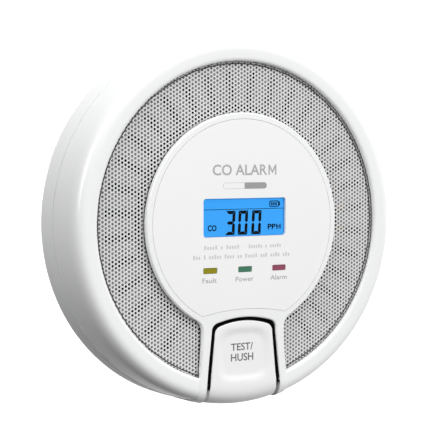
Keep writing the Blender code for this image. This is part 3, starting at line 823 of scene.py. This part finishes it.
def bold_m(left, right, low, high, stem):
    """A capital M with even strokes."""
    shape = [(0, 0), (stem, 0), (stem, 0.66), (0.5, 0.12), (1 - stem, 0.66), (1 - stem, 0), (1, 0), (1, 1),
             (0.85, 1), (0.5, 0.44), (0.15, 1), (0, 1)]
    return mark([(left + (right - left) * u, low + (high - low) * v) for u, v in shape])


def ink(name, tone, roughness=0.5):
    """Printing ink: an even tone, a little thin in places."""
    finish = bpy.data.materials.new(name)
    finish.use_nodes = True
    made = Board(finish.node_tree)
    spot = made.node("ShaderNodeTexCoord", output=3)
    cover = made.node("ShaderNodeTexNoise", None, {"Vector": spot, "Scale": 1500.0, "Detail": 2.0})
    thick = (tone * 0.92, tone * 0.92, tone * 0.93, 1.0)
    thin = (tone * 1.08, tone * 1.08, tone * 1.09, 1.0)
    shader = made.node("ShaderNodeBsdfPrincipled", None, {
        "Base Color": made.mix(cover, thick, thin), "Roughness": roughness + cover * 0.1,
        "Specular IOR Level": 0.1})
    made.node("ShaderNodeOutputMaterial", None, {0: shader})
    return finish


def printed(name, marks, surface, finish, body):
    piece = laid(joined(name, marks), surface)
    piece.data.materials.clear()
    piece.data.materials.append(finish)
    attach(piece, body)


pale_ink, mid_ink, dark_ink = ink("pale_ink", 0.60), ink("mid_ink", 0.34), ink("dark_ink", 0.15)
CAPTIONS = {"Fault": (-14.6, -9.8), "Power": (-3.3, 2.9), "Alarm": (8.9, 14.8)}
captions = [lettering(word, *ends, -17.5, -16.05) for word, ends in CAPTIONS.items()]
printed("print_captions", captions, on_face, mid_ink, "case")
descriptor = [lettering("CO ALAR", -11.2, 7.6, 14.15, 17.35, 0.015), bold_m(8.1, 10.9, 14.2, 17.3, 0.17)]
printed("print_descriptor", descriptor, on_face, ink("name_ink", 0.42), "case")

BADGE = (-7.7, 7.5, 10.1, 12.0)
left, right, low, high = BADGE
split = -0.2
end_r = (high - low) / 2 * 0.99
badge_dark = filleted([(right, low, end_r), (right, high, end_r), (split, high, 0), (split, low, 0)])
printed("print_badge_dark", [mark(badge_dark)], on_face, mid_ink, "case")
BADGE_LINE = 0.16
outer = filleted([(split, low, 0), (split, high, 0), (left, high, end_r), (left, low, end_r)])
left, split, low, high = left + BADGE_LINE, split - BADGE_LINE, low + BADGE_LINE, high - BADGE_LINE
end_r = (high - low) / 2 * 0.99
inner = filleted([(split, low, 0), (split, high, 0), (left, high, end_r), (left, low, end_r)])
badge_line = fitted(mark(outer), punched("tool", inner, 1.0, -1.0), "DIFFERENCE")
printed("print_badge_line", [badge_line], on_face, pale_ink, "case")


def small_print(left, right, low, high, words):
    """One line of small print as plain upright ticks, grouped like words."""
    ticks = sum(words) + len(words) - 1
    pitch = (right - left) / ticks
    made = []
    at = 0
    for count in words:
        for i in range(count):
            x = left + (at + i) * pitch
            top = high if (at + i) % 4 == 0 else low + (high - low) * 0.72
            made.append(mark([(x, low), (x + pitch * 0.58, low), (x + pitch * 0.58, top), (x, top)]))
        at += count + 1
    return made


ticks = small_print(-14.0, -1.8, -7.65, -6.45, (5, 1, 5))
ticks += small_print(1.2, 12.9, -7.65, -6.45, (6, 1, 5))
ticks += small_print(-17.7, 16.0, -10.45, -9.2, (3, 1, 5, 4, 2, 5, 3, 4, 3))
printed("print_small", ticks, on_face, pale_ink, "case")
key_words = [lettering("TEST/", -4.3, 3.4, -38.3, -36.1, 0.014)]
key_words.append(lettering("HUSH", -4.3, 3.5, -41.5, -39.2, 0.014))
printed("print_key", key_words, on_key, dark_ink, "test_button")


# ------------------------------------------------------------------ display
# A reflective liquid-crystal cell with a blue backlight, seen through a clear window let into
# the film. The segments are etched on the cell; a rule parts the top line from the reading.

CELL_D = 25.75
x, z, wide, high, radius = WINDOW
cell = punched("display_cell", rounded(x, z, wide - 0.16, high - 0.16, radius), CELL_D, 24.7)
edit(cell, "EDGE")
pick(cell, "EDGE", lambda x, d, z: d > CELL_D - 0.01)
bpy.ops.mesh.bevel(offset=0.1 * MM, segments=2, affect="EDGES")
done()
smoothed(cell)

blue = bpy.data.materials.new("backlit_blue")
blue.use_nodes = True
board = Board(blue.node_tree)
spot = board.node("ShaderNodeTexCoord", output=3)
cell_x, cell_z = (board.node("ShaderNodeSeparateXYZ", None, {0: spot}, axis) for axis in "XZ")
# The backlight is darkened at the cell's sides, top and foot: painted shadow of the window frame on the cell.
side_shadow = board.ramp(abs(cell_x), 0.01375, 0.0142, 1.0, 0.3)
top_shadow = board.ramp(cell_z, 0.0067, 0.0073, 1.0, 0.45)
foot_shadow = board.ramp(cell_z, -0.0041, -0.0037, 0.4, 1.0)
haze = board.node("ShaderNodeTexNoise", None, {"Vector": spot, "Scale": 90.0, "Detail": 2.0})
glow_under_painted_shadow = side_shadow * top_shadow * foot_shadow * (0.96 + haze * 0.08)
shade = board.mix(glow_under_painted_shadow, (0.004, 0.045, 0.22, 1.0), (0.004, 0.335, 0.92, 1.0))
surface = board.node("ShaderNodeBsdfPrincipled", None, {
    "Base Color": (0.01, 0.05, 0.12, 1.0), "Roughness": 0.35 + haze * 0.05, "Emission Color": shade,
    "Emission Strength": 0.95})
board.node("ShaderNodeOutputMaterial", None, {0: surface})
cell.data.materials.clear()
cell.data.materials.append(blue)
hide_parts("lcd_panel")
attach(cell, "case")

STROKE, SEGMENT_GAP, LEAN = 0.98, 0.05, tan(radians(3.0))
DIGIT_LOW, DIGIT_HIGH, DIGIT_WIDE = -3.6, 3.6, 3.3


def segment(start, end, start_mitred=True, end_mitred=True):
    """A bar of a figure, its left side outward: mitred at a corner of the figure, pointed elsewhere."""
    a, b = Vector(start), Vector(end)
    along = (b - a).normalized()
    side = Vector((-along.y, along.x)) * STROKE / 2
    tip = along * STROKE / 2
    a, b = a + along * SEGMENT_GAP, b - along * SEGMENT_GAP
    points = [a - tip + side] if start_mitred else [a, a + tip + side]
    points += [b + tip + side] if end_mitred else [b - tip + side, b]
    points += [b - tip - side, a + tip - side]
    return mark([(p.x + (p.y - DIGIT_LOW) * LEAN, p.y) for p in points])


def digit(left, lit):
    """A seven-segment figure made of the lit bars a to g."""
    x0, x1 = left + STROKE / 2, left + DIGIT_WIDE - STROKE / 2
    z0, z2 = DIGIT_LOW + STROKE / 2, DIGIT_HIGH - STROKE / 2
    z1 = (z0 + z2) / 2
    bars = {"a": ((x0, z2), (x1, z2)), "b": ((x1, z2), (x1, z1), True, False),
            "c": ((x1, z1), (x1, z0), False, True), "d": ((x1, z0), (x0, z0)),
            "e": ((x0, z0), (x0, z1), True, False), "f": ((x0, z1), (x0, z2), False, True),
            "g": ((x0, z1), (x1, z1), False, False)}
    return [segment(*bars[name]) for name in lit]


def block(x0, x1, z0, z1):
    return mark([(x1, z0), (x1, z1), (x0, z1), (x0, z0)])


lit = digit(-6.95, "abcdg") + digit(-2.55, "abcdef") + digit(2.15, "abcdef")
lit += [block(-14.15, 14.15, 3.95, 4.13)]
lit += [lettering("CO", -12.8, -9.8, -2.3, -0.5, 0.035), lettering("PP", 8.0, 10.8, -2.25, -0.6, 0.03),
        bold_m(11.05, 12.6, -2.22, -0.6, 0.24)]
battery = fitted(mark(rounded(10.25, 5.45, 3.4, 1.9, 0.5)),
                 punched("tool", rounded(10.25, 5.45, 2.8, 1.35, 0.3), 1.0, -1.0), "DIFFERENCE")
lit += [battery, mark(filleted([(12.0, 4.7, 0), (12.35, 5.0, 0.2), (12.35, 5.9, 0.2), (12.0, 6.2, 0)]))]
lit += [block(9.2 + 0.75 * i, 9.2 + 0.75 * i + 0.5, 4.98, 5.92) for i in range(3)]
SEEN_SHIFT = (26.5 - CELL_D) * 0.5
figures = joined("display_segments", lit)
for vertex in figures.data.vertices:
    vertex.co.x += SEEN_SHIFT * MM
    vertex.co.y = -(CELL_D + (0.02 if vertex.co.y < 0 else -0.02)) * MM
black = ink("segment_black", 0.002, 0.7)
figures.data.materials.clear()
figures.data.materials.append(black)
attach(figures, "case")

pane = punched("display_window_pane", rounded(x, z, wide - 0.1, high - 0.1, radius), 26.5, 26.0)
edit(pane, "EDGE")
pick(pane, "EDGE", lambda x, d, z: d > 26.49)
bpy.ops.mesh.bevel(offset=0.12 * MM, segments=3, affect="EDGES")
done()
smoothed(pane)
clear = bpy.data.materials.new("clear_window")
clear.use_nodes = True
board = Board(clear.node_tree)
spot = board.node("ShaderNodeTexCoord", output=3)
smear = board.node("ShaderNodeTexNoise", None, {"Vector": spot, "Scale": 160.0, "Detail": 3.0})
surface = board.node("ShaderNodeBsdfPrincipled", None, {
    "Base Color": (0.0, 0.0, 0.0, 1.0), "Roughness": 0.08 + smear * 0.06,
    "Alpha": 0.015 + smear * 0.015, "IOR": 1.3})
board.node("ShaderNodeOutputMaterial", None, {0: surface})
pane.data.materials.clear()
pane.data.materials.append(clear)
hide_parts("display_window")
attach(pane, "case")


# ------------------------------------------------------------ lamp windows
# Three small tinted light pipes, amber, green and red, snapped into the face over the lamps.

TINTS = {"fault": (0.285, 0.262, 0.006), "power": (0.056, 0.200, 0.118), "alarm": (0.30, 0.075, 0.125)}
for name, place in LEDS.items():
    outline = rounded(place, LED_Z, LED_WIDE - 0.08, LED_HIGH - 0.08, LED_ROUND)
    lens = punched("lamp_window_" + name, outline, 26.4, 24.5)
    edit(lens, "EDGE")
    pick(lens, "EDGE", lambda x, d, z: d > 26.39)
    bpy.ops.mesh.bevel(offset=0.18 * MM, segments=4, affect="EDGES")
    done()
    smoothed(lens)
    tint = bpy.data.materials.new("tinted_" + name)
    tint.use_nodes = True
    board = Board(tint.node_tree)
    spot = board.node("ShaderNodeTexCoord", output=3)
    depth = board.node("ShaderNodeTexNoise", None, {"Vector": spot, "Scale": 700.0, "Detail": 2.0})
    deep = tuple(c * 0.86 for c in TINTS[name])
    shade = board.mix(depth, (*deep, 1.0), (*TINTS[name], 1.0))
    surface = board.node("ShaderNodeBsdfPrincipled", None, {
        "Base Color": shade, "Roughness": 0.22 + depth * 0.12, "IOR": 1.25})
    board.node("ShaderNodeOutputMaterial", None, {0: surface})
    lens.data.materials.clear()
    lens.data.materials.append(tint)
    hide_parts("led_lens_" + name)
    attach(lens, "case")


# --------------------------------------------------------------- back shell
# The back shell is a shallow turned tray in white plastic. Its back has three curved bayonet
# slots for the bracket's hooks, a slot for the bracket's peg, four sunk screw holes and a bed
# for the label. Its rim slips inside the front cover.

WALL_GAP = 3.0
HOOKS, HOOK_HALF, TWIST = (90.0, 210.0, 330.0), 5.0, 12.0
CASE_SCREWS = [(48.2, a) for a in (40.0, 140.0, 220.0, 320.0)]
shell_section = ([(0.0, WALL_GAP), (46.6, WALL_GAP), (46.9, WALL_GAP + 0.25), (47.3, WALL_GAP + 0.25),
                  (47.6, WALL_GAP)]
                 + bend((54.4, WALL_GAP), (55.3, WALL_GAP), (55.78, 3.3), (55.78, 4.2), 10)
                 + [(55.74, 7.5), (55.5, SEAM_D - 0.35), (55.42, SEAM_D - 0.15), (55.2, SEAM_D - 0.09),
                    (53.0, SEAM_D - 0.09), (53.0, 13.4), (52.8, 13.5), (51.8, 13.5), (51.6, 13.3),
                    (51.6, 9.4), (53.4, 8.0), (53.4, 5.5), (52.9, 5.0), (0.0, 5.0)])
shell = turned("back_shell", shell_section, 240)
edit(shell, "FACE")
pick(shell, "FACE", lambda x, d, z: hypot(x, z) < 46.7 and d < 5.1)
bpy.ops.mesh.dissolve_limited(angle_limit=radians(0.5))
done()


def sector(inner, outer, start, end, steps=12):
    return arc(inner, start, end, steps) + arc(outer, end, start, steps)


tools = []
for angle in HOOKS:
    split = angle - HOOK_HALF - 1.0
    slot = arc(38.5, angle - 18.0, angle + 6.0, 16) + arc(41.5, angle + 6.0, split, 10)
    slot += arc(43.9, split, angle - 18.0, 10)
    tools.append(punched("slot_tool", slot, 6.0, 2.0))
tools.append(punched("peg_tool", sector(32.6, 35.4, 180.0 - TWIST - 3.4, 183.4), 6.0, 2.0))
tools.append(punched("label_tool", rounded(0.0, 0.0, 44.6, 24.6, 1.2), 3.4, 2.0))
fitted(shell, joined("tools", tools), "DIFFERENCE")
holes, bosses = [], []
for radius, angle in CASE_SCREWS:
    centre = (radius * cos(radians(angle)), radius * sin(radians(angle)))
    bosses.append(punched("boss", arc(3.3, 0.0, 337.5, 15, centre), 6.7, 4.5))
    holes.append(punched("bore", arc(1.7, 0.0, 345.0, 23, centre), 9.0, 2.0))
    wide_hole = punched("counterbore", arc(3.0, 0.0, 352.5, 47, centre), 4.9, 2.0)
    holes.append(wide_hole)
fitted(shell, joined("bosses", bosses), "UNION")
for hole in holes:
    fitted(shell, hole, "DIFFERENCE")
mended(shell, 0.012, True)
smoothed(shell)
shell.data.materials.clear()
shell.data.materials.append(grained("white_back_plastic", (0.84, 0.845, 0.85), 0.34, 0.18, coat=0.08))
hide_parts("rear_case")
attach(shell, "case")


# --------------------------------------------------------- mounting bracket
# The bracket is a white disc screwed to the wall. Three hooks on posts catch the back shell's
# bayonet slots, and a peg works its switch. Windows and rings in it save plastic.

plate_section = ([(0.0, 0.0), (45.2, 0.0), (45.8, 0.2), (46.0, 0.7), (46.0, 1.8), (45.8, 2.25),
                  (45.3, 2.4), (43.9, 2.4), (43.6, 1.9), (37.4, 1.9), (37.1, 2.4), (36.4, 2.4),
                  (36.1, 1.9), (17.2, 1.9), (16.9, 2.4), (12.6, 2.4), (12.3, 1.9), (0.0, 1.9)])
bracket = turned("wall_plate", plate_section, 192)
parts = []
for angle in HOOKS:
    parts.append(punched("post", sector(39.0, 41.0, angle - HOOK_HALF, angle + HOOK_HALF, 6), 7.0, 1.2))
    hook = sector(40.0, 43.3, angle - HOOK_HALF + 0.4, angle + HOOK_HALF - 0.4, 6)
    parts.append(punched("hook", hook, 6.8, 5.5))
    parts.append(punched("web", sector(34.5, 39.5, angle - 0.6, angle + 0.6, 2), 4.2 - 1.6, 1.2))
parts.append(punched("peg", arc(1.1, 0.0, 345.0, 23, (-34.0, 0.0)), 7.9, 1.2))
for side in (-1, 1):
    around = (side * 20.0, 0.0)
    parts.append(punched("pad", rounded(around[0], 0.0, 14.0, 8.4, 4.1, 10), 2.4, 1.2))
for part in parts:
    fitted(bracket, part, "UNION")
tools = []
for side in (-1, 1):
    tools.append(punched("screw_slot", rounded(side * 20.0, 0.0, 10.0, 4.4, 2.19, 10), 4.0, -1.0))
for angle in (30.0, 150.0, 270.0):
    window = sector(20.0, 34.0, angle - 22.0, angle + 22.0, 16)
    tools.append(punched("window_tool", window, 4.0, -1.0))
fitted(bracket, joined("tools", tools), "DIFFERENCE")
smoothed(bracket)
bracket.data.materials.clear()
bracket.data.materials.append(grained("white_bracket_plastic", (0.80, 0.80, 0.795), 0.42, 0.3))
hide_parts("mounting_bracket")
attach(bracket, "bracket")


# -------------------------------------------------------------- case screws
# Four self-tapping steel screws with cross recesses hold the back shell to the front cover.

head_section = ([(0.0, 3.5), (1.5, 3.55)]
                + [(2.2, 3.75), (2.5, 4.1), (2.6, 4.6), (2.6, 4.88), (1.25, 4.9), (1.25, 15.0),
                   (0.7, 16.2), (0.0, 16.5)])
screw = turned("case_screw", head_section, 40)
cross = [punched("cross", rounded(0.0, 0.0, *size, 0.1, 2), 4.5, 3.0) for size in ((2.7, 0.62), (0.62, 2.7))]
fitted(screw, cross[0], "DIFFERENCE")
fitted(screw, cross[1], "DIFFERENCE")
smoothed(screw, 35.0)
zinc = metal("zinc_plated_steel", (0.62, 0.63, 0.65), 1.0, 0.30, 1500.0)
screw.data.materials.clear()
screw.data.materials.append(zinc)
for number, (radius, angle) in enumerate(CASE_SCREWS, 1):
    copy = bpy.data.objects.new(f"cross_screw_{number}", screw.data.copy())
    scene.collection.objects.link(copy)
    for vertex in copy.data.vertices:
        vertex.co.x += radius * cos(radians(angle)) * MM
        vertex.co.z += radius * sin(radians(angle)) * MM
    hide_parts(f"case_screw_{number}")
    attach(copy, "case")
bpy.data.objects.remove(screw)


# --------------------------------------------------------------- back label
# A grey polyester label in the back shell's bed, printed with empty ruled boxes.

label = punched("back_label", rounded(0.0, 0.0, 44.0, 24.0, 1.0), 3.3, 3.07)
label.data.materials.clear()
label.data.materials.append(grained("label_polyester", (0.62, 0.62, 0.61), 0.45, 0.05, shift=0.01))
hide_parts("rear_label")
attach(label, "case")
rules = []
for z_rule in (9.0, 4.5, 0.0, -4.5, -9.0):
    corners = [(20.0, z_rule), (20.0, z_rule + 0.2), (-20.0, z_rule + 0.2), (-20.0, z_rule)]
    rules.append(punched("rule", corners, 3.08, 3.055))
for x_rule in (-20.0, -6.0, 19.8):
    corners = [(x_rule + 0.2, -9.0), (x_rule + 0.2, 9.2), (x_rule, 9.2), (x_rule, -9.0)]
    rules.append(punched("rule", corners, 3.08, 3.055))
rules = joined("label_rules", rules)
rules.data.materials.clear()
rules.data.materials.append(dark_ink)
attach(rules, "case")


# ------------------------------------------------------------ inner works
# Everything inside stays as the frame has it: board, cell, sensor, sounder, switches. Each gets
# the finish of the real part: solder mask, shrink wrap, tinned cans, brass, moulded blacks.

kept = {}
for name, node in nodes.items():
    if not node.hide_render:
        kept.setdefault(node.data.materials[0].name, []).append(node)
PLASTICS = {"backlight_diffuser": ((0.80, 0.83, 0.86), 0.4, 0.1),
            "holder_black": ((0.02, 0.02, 0.022), 0.45, 0.3),
            "zebra_rubber": ((0.25, 0.22, 0.2), 0.7, 0.4), "led_body": ((0.75, 0.72, 0.6), 0.3, 0.1),
            "chip_black": ((0.015, 0.015, 0.017), 0.5, 0.35),
            "capacitor_sleeve": ((0.02, 0.03, 0.07), 0.35, 0.1),
            "sensor_cap": ((0.75, 0.74, 0.70), 0.5, 0.2), "sounder_plastic": ((0.03, 0.03, 0.035), 0.45, 0.3),
            "plunger_plastic": ((0.70, 0.65, 0.12), 0.4, 0.1), "cell_wrap": ((0.05, 0.16, 0.10), 0.3, 0.08),
            "slider_red": ((0.55, 0.03, 0.025), 0.38, 0.15), "coil_ferrite": ((0.045, 0.04, 0.04), 0.6, 0.4)}
METALS = {"plated_can": ((0.72, 0.71, 0.69), 1.0, 0.28), "piezo_brass": ((0.72, 0.52, 0.22), 1.0, 0.3),
          "screw_steel": ((0.62, 0.63, 0.65), 1.0, 0.3), "pin_steel": ((0.6, 0.6, 0.62), 1.0, 0.22)}
for name, members in kept.items():
    if name in PLASTICS:
        colour, roughness, grain = PLASTICS[name]
        finish = grained("inner_" + name, colour, roughness, grain)
    elif name in METALS:
        colour, metallic, roughness = METALS[name]
        finish = metal("inner_" + name, colour, metallic, roughness)
    else:
        finish = grained("inner_" + name, (0.03, 0.16, 0.07), 0.35, 0.15)
    for node in members:
        node.data.materials[0] = finish
